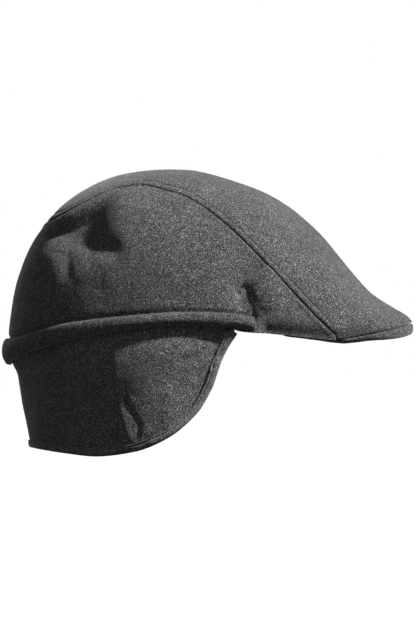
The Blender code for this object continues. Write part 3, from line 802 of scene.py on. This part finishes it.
def cuff_surface(distance, share):
    """Places on the outside of the roll, share 0 at its upper edge and 1 where it has curled under."""
    x, y, out_x, out_y = rim_at(distance)
    rim = side_height(RIM_LINE, x)
    curl = 1.0 - ramp(x, CUFF_CURL_END - CUFF_FADE, CUFF_CURL_END)
    lift = ramp(x, CUFF_CURL_END, CUFF_CURL_END + CUFF_FADE)
    low = rim - (1.0 - lift) * (CUFF_WALL + WALL_CLEARANCE) + lift * CUFF_WALL
    high = side_height(CUFF_TOP_LINE, x)
    bulge = CUFF_BULGE_BACK + (CUFF_BULGE_FRONT - CUFF_BULGE_BACK) * np.abs(distance) / CUFF_END
    left = np.clip((CUFF_END - np.abs(distance)) / CUFF_END_ROUNDING, 0.0, 1.0)
    thinnest = CUFF_WALL + WALL_CLEARANCE
    bulge = thinnest + (bulge - thinnest) * np.sqrt(left * (2.0 - left))

    def away_at(part):
        fullness = np.where(part > 0.5, CUFF_LOW_FULLNESS, CUFF_FULLNESS)
        swell = np.cos(math.pi * (0.5 - part)).clip(0.0) ** fullness
        return WALL_CLEARANCE + (bulge - WALL_CLEARANCE) * swell

    under = np.clip((share - CURL_START) / (1.0 - CURL_START), 0.0, 1.0)
    curled = WALL_CLEARANCE - curl * (CUFF_CURL + WALL_CLEARANCE)
    away = away_at(np.minimum(share, CURL_START)) * (1.0 - under) + curled * under
    level = (low + high) / 2 + (high - low) / 2 * np.sin(math.pi * (0.5 - share))
    out = np.stack([out_x, out_y, np.zeros_like(out_x)], axis=-1)
    return np.stack([x + out_x * away, y + out_y * away, level], axis=-1), out


distances, shares = np.meshgrid(np.linspace(-CUFF_END, CUFF_END, CUFF_COLUMNS + 1),
                                np.linspace(0.0, 1.0, CUFF_ROWS + 1))
places, outs = cuff_surface(distances, shares)
swell = unevenness(twins(places), *CUFF_LUMPS) + unevenness(twins(places), *CUFF_FUZZ)
places = places - outs * (swell * np.sin(math.pi * shares))[..., None]
rolled_cuff = wrapped_grid("rolled_cuff_cloth", places, outs)
give_wall(rolled_cuff, CUFF_WALL, edge=SOFT_EDGE)

# %% [markdown]
# ## The ear flap
#
# One wall of cloth hangs from inside the crown, round the back and down over both ears. It leans in
# towards the neck, with long soft folds. Its free edge is a smooth curve, so the grid's columns end at
# evenly spaced points of that curve.

# %% Make the flap
FLAP_COLUMNS = 420
FLAP_ROWS = 80
EDGE_SAMPLES = 400
FLAP_WAVES = (
    # along, half_width, depth, as shares of the flap's length and depth
    (0.215, 0.080, 0.018),
    (0.500, 0.055, 0.006),
    (0.860, 0.070, 0.012),
)
FLAP_LUMPS = (0.020, 0.0006, 41.0)
FLAP_FUZZ = (0.006, 0.00015, 43.0)
CREASES_START = (0.002, 0.012)
WAVE_START = 0.10
WAVE_FULL = 0.80


def smooth_flap(distance, level, away=0.0):
    """Places on the middle of the flap's cloth this far round and at this height, or off it by away."""
    x, y, out_x, out_y = rim_at(distance)
    lean = FLAP_LEAN_SIDE + (FLAP_LEAN_BACK - FLAP_LEAN_SIDE) * np.where(out_x < 0, out_x**2, 0.0)
    hang = np.maximum(side_height(RIM_LINE, x) - level, 0.0)
    inset = CROWN_WALL + WALL_CLEARANCE + FLAP_WALL / 2 + lean * hang
    inset = inset + FLAP_STEP_BACK * np.maximum(-out_x, 0.0) * ramp(hang, 0.0, FLAP_STEP_DROP)
    over_ear = bell(x, FLAP_BELLY_AHEAD, FLAP_BELLY_REACH)
    inset = inset - FLAP_BELLY * over_ear * ramp(hang, FLAP_BELLY_START, FLAP_BELLY_DROP)
    wave = 0.0
    for along, half_width, depth in FLAP_WAVES:
        middle = along * FLAP_LENGTH - CROWN_BACK
        wave = wave + depth * FLAP_DEPTH * bell(x, middle, half_width * FLAP_LENGTH)
    inset = inset + wave * ramp(hang, WAVE_START * FLAP_DEPTH, WAVE_FULL * FLAP_DEPTH)
    inset = inset - away
    out = np.stack([out_x, out_y, np.zeros_like(out_x)], axis=-1)
    return np.stack([x - out_x * inset, y - out_y * inset, level + 0.0 * x], axis=-1), out


def worn_flap(distance, level, away=0.0):
    """The flap with its creases, the same on both sides."""
    place, out = smooth_flap(distance, level, away)
    twin = twins(place)
    hang = np.maximum(side_height(RIM_LINE, place[..., 0]) - place[..., 2], 0.0)
    depth = fold_depth(twin, FLAP_FOLDS) * ramp(np.abs(twin[..., 1]), *FOLDED_SIDE)
    depth += unevenness(twin, *FLAP_LUMPS) + unevenness(twin, *FLAP_FUZZ)
    return place - out * (depth * ramp(hang, *CREASES_START))[..., None], out


def free_edge():
    """The flap's free edge as distances round and heights, from the centre of the back to the front."""
    rows = np.array(FLAP_EDGE)
    share = rows[0, 0] + (rows[-1, 0] - rows[0, 0]) * np.sin(np.linspace(0.0, math.pi / 2, EDGE_SAMPLES))
    level = -FLAP_DEPTH * read_line(FLAP_EDGE, share)
    x = share * FLAP_LENGTH - CROWN_BACK
    distance = halved(np.zeros_like(x), np.full_like(x, stitch_end),
                      lambda tried: smooth_flap(tried, level)[0][..., 0] < x)
    distance[0] = 0.0
    return np.stack([distance, level], axis=1)


EDGE = free_edge()
EDGE_ROUND = lengths_along(EDGE)
print("the free edge is", round(2 * EDGE_ROUND[-1] / MM), "mm long")


def flap_place(station, share):
    """Distance round and height at a station from -1 to 1, and a share down from the hidden top."""
    reach = np.abs(station)
    side = np.where(station < 0, -1.0, 1.0)
    edge = line_at(reach * EDGE_ROUND[-1], EDGE_ROUND, EDGE)
    distance, level = edge[..., 0], edge[..., 1]
    top = float(rim_distance(FLAP_FRONT)) * reach
    top_level = side_height(RIM_LINE, rim_at(top)[0]) + FLAP_TUCK
    there = top + (distance - top) * (1.0 - (1.0 - share) ** FLAP_SPREAD)
    return side * there, top_level + (level - top_level) * share


stations, shares = np.meshgrid(np.linspace(-1.0, 1.0, FLAP_COLUMNS + 1),
                               np.linspace(0.0, 1.0, FLAP_ROWS + 1))
places, outs = worn_flap(*flap_place(stations, shares), away=FLAP_WALL / 2)
ear_flap = wrapped_grid("ear_flap_cloth", places, outs)
give_wall(ear_flap, FLAP_WALL, edge=SOFT_EDGE)

# %% [markdown]
# ## The binding
#
# A strip of the same wool is folded over the flap's free edge and stitched through. It follows the flap's
# surface, so at each station it has its own small frame: along the edge, inwards up the flap, and out.

# %% Make the binding
BINDING_COLUMNS = 420
LEAF_ROWS = 9
BEND_ROWS = 10
SLOPE_SHARE = 0.07
BINDING_HALF = FLAP_WALL / 2 + FIT_GAP + BINDING_WALL
BINDING_STITCH_IN = 0.0012
BINDING_GROOVE = 0.00055
BINDING_GROOVE_WIDTH = 0.0005
LEAF_DIVE = 0.00010
LEAF_DIVE_WIDTH = 0.0007
BINDING_RIPPLE = (0.005, 0.00016, 53.0)


def square_to(ways, along):
    """The ways with their part along another way taken out, each one metre long."""
    return unit(ways - along * np.sum(ways * along, axis=1)[:, None])


# Where the free edge is at each station, and the ways along it, up the flap and out.
station = np.linspace(-1.0, 1.0, BINDING_COLUMNS + 1)
here = worn_flap(*flap_place(station, np.ones_like(station)))[0]
above, out = worn_flap(*flap_place(station, np.full_like(station, 1.0 - SLOPE_SHARE)))
along = unit(np.gradient(here, axis=0))
inward = square_to(above - here, along)
facing = np.cross(along, inward)
facing *= np.sign(np.sum(facing * out, axis=1))[:, None]

# The folded strip's outside in section: how far up the flap, and how far out from its middle.
leaf = BINDING_WIDTH - BINDING_HALF
up = np.linspace(leaf, 0.0, LEAF_ROWS + 1)[:-1]
dive = LEAF_DIVE * bell(up, leaf, LEAF_DIVE_WIDTH)
groove = BINDING_GROOVE * bell(up, leaf - BINDING_STITCH_IN, BINDING_GROOVE_WIDTH)
outer = np.stack([up, BINDING_HALF - dive - groove], axis=1)
angle = np.linspace(0.0, math.pi, BEND_ROWS + 1)
bend = np.stack([-np.sin(angle), np.cos(angle)], axis=1) * BINDING_HALF
section = np.concatenate([outer, bend, (outer * np.array((1.0, -1.0)))[::-1]])

places = here + section[:, None, :1] * inward + section[:, None, 1:] * facing
outs = np.broadcast_to(facing, places.shape).copy()
outs[len(section) // 2:] *= -1.0
places = places + facing * unevenness(twins(places), *BINDING_RIPPLE)[..., None]
flap_binding = wrapped_grid("flap_binding_cloth", places, np.broadcast_to(-inward, places.shape))
give_wall(flap_binding, BINDING_WALL, edge=BINDING_SOFT_EDGE)

# %% [markdown]
# ## The peak
#
# The bill is a board in a cover of the same cloth. Its solid already has the right form, so a copy of it
# is merged, turned to four-sided faces and smoothed with a subdivision surface.

# %% Make the peak
PEAK_LEVELS = 3
PEAK_FULLER = 0.0003
PEAK_FUZZ = (0.006, 0.00012, 61.0)
PEAK_MERGE = 0.00002
LIP_LEAN = 1.05
LIP_LEAN_LEAST = 0.20
LIP_FORWARD = 0.0010
LIP_DROP = 0.0018
LIP_RISE = 0.0008
LIP_HEIGHT = 0.003
LIP_TIP_START = 0.030
LIP_TIP_FULL = 0.006
NARROWEST = 0.002


def lip_in(points):
    """The peak's points moved in with the hem above them, and further the lower they lie."""
    x, y, z = points.T
    _, rim_y, out_x, out_y = rim_at(rim_distance(x))
    drop = side_height(RIM_LINE, x) - z
    at_tip = ramp(x, CROWN_FRONT - LIP_TIP_START, CROWN_FRONT - LIP_TIP_FULL)
    lean = LIP_LEAN * np.maximum(hem_share(x), LIP_LEAN_LEAST)
    shift = hem_roll(x, -drop) + lean * np.maximum(drop, 0.0) - LIP_FORWARD * at_tip
    narrower = 1.0 - shift * np.abs(out_y) / np.maximum(np.abs(rim_y), NARROWEST)
    lift = LIP_RISE - (LIP_DROP + LIP_RISE) * ramp(drop, 0.0, LIP_HEIGHT)
    return np.stack([x - out_x * shift, y * narrower, z + lift * at_tip], axis=1)


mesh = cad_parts["peak"].data.copy()
mesh.name = "peak_cloth"
mesh.materials.clear()
peak = new_object("peak_cloth", mesh)
only(peak)
bpy.ops.object.mode_set(mode="EDIT")
bpy.ops.mesh.select_all(action="SELECT")
bpy.ops.mesh.customdata_custom_splitnormals_clear()
bpy.ops.mesh.remove_doubles(threshold=PEAK_MERGE)
bpy.ops.mesh.tris_convert_to_quads()
bpy.ops.object.mode_set(mode="OBJECT")
set_points(peak, lip_in(read_points(peak)))
smooth = peak.modifiers.new("smooth", "SUBSURF")
smooth.levels = smooth.render_levels = PEAK_LEVELS
bpy.ops.object.modifier_apply(modifier=smooth.name)
points = read_points(peak)
normals = np.empty(points.size)
peak.data.vertices.foreach_get("normal", normals)
depth = unevenness(points, *PEAK_FUZZ) - PEAK_FULLER
set_points(peak, points - normals.reshape(-1, 3) * depth[:, None])
smooth_and_report(peak)

# %% [markdown]
# ## Stitches
#
# The topstitching beside the seams and the stitches through the binding are one small grain of thread,
# modelled once and copied along its line. Each lies half sunk in its groove.

# %% One stitch, and rows of it
STITCH_PITCH = 0.0031
STITCH_LENGTH = 0.0024
STITCH_THICK = 0.00048
STITCH_BEND = 0.8
STITCH_PROUD = 0.3
BINDING_STITCH_PROUD = 0.2
STITCH_SAMPLES = 600


# Points and faces of one stitch, along X, with Z out of the cloth.
bpy.ops.object.select_all(action="DESELECT")
bpy.ops.mesh.primitive_uv_sphere_add(segments=6, ring_count=5, radius=0.5, rotation=(0.0, math.pi / 2, 0.0))
bpy.ops.object.transform_apply(location=True, rotation=True, scale=True)
grain = bpy.context.object
GRAIN = read_points(grain) * np.array((STITCH_LENGTH, STITCH_THICK, STITCH_THICK))
GRAIN[:, 2] -= STITCH_BEND * STITCH_THICK * (2 * GRAIN[:, 0] / STITCH_LENGTH) ** 2
GRAIN_FACES = [tuple(face.vertices) for face in grain.data.polygons]
bpy.data.objects.remove(grain, do_unlink=True)


def stitch_row(line, outs):
    """Stitches at an even pitch along a line of points, as points and faces."""
    travelled = lengths_along(line)
    count = int(travelled[-1] / STITCH_PITCH)
    at = (np.arange(count) + 0.5) * travelled[-1] / count
    centre = line_at(at, travelled, line)
    along = unit(line_at(at + MM, travelled, line) - line_at(at - MM, travelled, line))
    out = square_to(line_at(at, travelled, outs), along)
    across = np.cross(out, along)
    spots = (centre[:, None] + GRAIN[None, :, :1] * along[:, None] + GRAIN[None, :, 1:2] * across[:, None]
             + GRAIN[None, :, 2:] * out[:, None])
    faces = [tuple(v + i * len(GRAIN) for v in face) for i in range(count) for face in GRAIN_FACES]
    return spots.reshape(-1, 3), faces


def stitching(name, rows):
    """One piece of all these rows of stitches."""
    points, faces = [], []
    for line, outs in rows:
        new_points, new_faces = stitch_row(line, outs)
        faces += [tuple(v + sum(map(len, points)) for v in face) for face in new_faces]
        points.append(new_points)
    mesh = bpy.data.meshes.new(name)
    mesh.from_pydata(np.concatenate(points).tolist(), [], faces)
    mesh.update()
    piece = new_object(name, mesh)
    smooth_and_report(piece)
    return piece


columns = np.linspace(0.0, stitch_end, STITCH_SAMPLES)
turns, offs = laid_out(columns, seam_turn(columns), True, lambda at, whole: stitch_offset(at), lap=0.0)
relief = seam_relief(bare_crown(columns, turns), offs, columns)
line, outs = crown_surface(columns, turns, relief - STITCH_PROUD * STITCH_THICK)
top_stitching = stitching("top_stitching", [(line, outs), (mirrored(line), mirrored(outs))])

height = BINDING_HALF - BINDING_GROOVE + BINDING_STITCH_PROUD * STITCH_THICK
line = here + inward * (leaf - BINDING_STITCH_IN) + facing * height
binding_stitching = stitching("binding_stitching", [(line, facing)])

# %% [markdown]
# ## The wool
#
# The cloth is melton: wool woven, then felted until the weave hardly shows. Black, charcoal and pale grey
# fibres are mixed before spinning, so close up it is a fine salt and pepper with no shine and a short
# soft nap. The fibres' clumps are about 0.7 mm across, which is one pixel of the picture.

# %% A helper for nodes, and the wool material
def add_node(tree, kind, settings=None, links=None):
    """Adds a node, sets its properties and plain inputs, and links other sockets to its inputs."""
    node = tree.nodes.new(kind)
    for key, value in (settings or {}).items():
        if key in node.inputs:
            node.inputs[key].default_value = value
        else:
            setattr(node, key, value)
    for key, socket in (links or {}).items():
        tree.links.new(socket, node.inputs[key])
    return node


def new_material(name, settings):
    """A material with these plain inputs of its shader, its node tree and the shader."""
    made = bpy.data.materials.new(name)
    made.use_nodes = True
    shader = made.node_tree.nodes["Principled BSDF"]
    for key, value in settings.items():
        shader.inputs[key].default_value = value
    return made, made.node_tree, shader


WOOL_SHADER = {"Roughness": 0.95, "Specular IOR Level": 0.25, "Sheen Weight": 0.20, "Sheen Roughness": 0.55}
# Size, detail and roughness of the flecks, the clumps and the patches, and where the fibres' tones lie.
WOOL_GRAINS = ((0.00065, 3.0, 0.7), (0.0045, 3.0, 0.6), (0.045, 2.0, 0.5))
FIBRE_STOPS = (0.38, 0.47, 0.56, 0.66)
CLUMP_CHANGE = 0.22
PATCH_CHANGE = 0.10


def melton(name, *tones):
    """Felted wool of fibres mixed from four tones, the darkest first."""
    made, tree, shader = new_material(name, WOOL_SHADER)
    place = add_node(tree, "ShaderNodeTexCoord").outputs["Object"]
    grains = []
    for size, detail, roughness in WOOL_GRAINS:
        settings = {"Scale": 1 / size, "Detail": detail, "Roughness": roughness}
        grains.append(add_node(tree, "ShaderNodeTexNoise", settings, {"Vector": place}).outputs["Fac"])
    fleck, clump, patch = grains
    fibres = add_node(tree, "ShaderNodeValToRGB", None, {"Fac": fleck})
    stops = fibres.color_ramp.elements
    for position in FIBRE_STOPS[1:-1]:
        stops.new(position)
    for stop, position, tone in zip(stops, FIBRE_STOPS, tones):
        stop.position = position
        stop.color = from_hex(tone)
    both = add_node(tree, "ShaderNodeMath", {"operation": "MULTIPLY"})
    for socket, grain, change in zip(both.inputs, (clump, patch), (CLUMP_CHANGE, PATCH_CHANGE)):
        settings = {"From Min": 0.3, "From Max": 0.7, "To Min": 1.0 - change, "To Max": 1.0 + change}
        lighter = add_node(tree, "ShaderNodeMapRange", settings, {"Value": grain})
        tree.links.new(lighter.outputs["Result"], socket)
    shaded = add_node(tree, "ShaderNodeVectorMath", {"operation": "SCALE"},
                      {"Scale": both.outputs["Value"]})
    tree.links.new(fibres.outputs["Color"], shaded.inputs[0])
    tree.links.new(shaded.outputs["Vector"], shader.inputs["Base Color"])
    bump = add_node(tree, "ShaderNodeBump", {"Strength": 0.6, "Distance": 0.0004}, {"Height": fleck})
    tree.links.new(bump.outputs["Normal"], shader.inputs["Normal"])
    return made


CROWN_WOOL = melton("crown_melton_wool", "#0c0c0f", "#333336", "#58585b", "#bdbcbb")
FLAP_WOOL = melton("flap_melton_wool", "#121112", "#424040", "#6a6766", "#d0cdca")
BINDING_WOOL = melton("binding_melton_wool", "#201f20", "#545252", "#7a7776", "#c9c6c3")

# Matt spun polyester thread, two plies twisted together.
THREAD, tree, shader = new_material("black_thread", {"Roughness": 0.7})
place = add_node(tree, "ShaderNodeTexCoord").outputs["Object"]
twist = add_node(tree, "ShaderNodeTexNoise", {"Scale": 4000.0, "Detail": 2.0}, {"Vector": place})
tint = add_node(tree, "ShaderNodeMix", {"data_type": "RGBA"}, {"Factor": twist.outputs["Fac"]})
tint.inputs["A"].default_value = from_hex("#0e0e10")
tint.inputs["B"].default_value = from_hex("#2b2b2e")
tree.links.new(tint.outputs["Result"], shader.inputs["Base Color"])

white_paper = new_material("white_paper", {"Base Color": from_hex("#ffffff"), "Roughness": 0.9})[0]
floor.data.materials.append(white_paper)

# %% Who wears what, and what each piece stands for
PIECES = (
    # piece, material, slot, node
    (top_panel, CROWN_WOOL, "crown_wool", "top_panel"),
    (side_panel_right, CROWN_WOOL, "crown_wool", "side_panel_right"),
    (side_panel_left, CROWN_WOOL, "crown_wool", "side_panel_left"),
    (rolled_cuff, CROWN_WOOL, "cuff_wool", "rolled_cuff"),
    (peak, CROWN_WOOL, "peak_wool", "peak"),
    (ear_flap, FLAP_WOOL, "flap_wool", "ear_flap"),
    (flap_binding, BINDING_WOOL, "binding_wool", "flap_binding"),
    (top_stitching, THREAD, "crown_wool", None),
    (binding_stitching, THREAD, "binding_wool", None),
)
for piece, wool, slot_name, node in PIECES:
    piece.data.materials.clear()
    piece.data.materials.append(wool)
    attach(piece, "root")
    if node:
        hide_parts(node)
print(len(PIECES), "pieces ride on the root body")
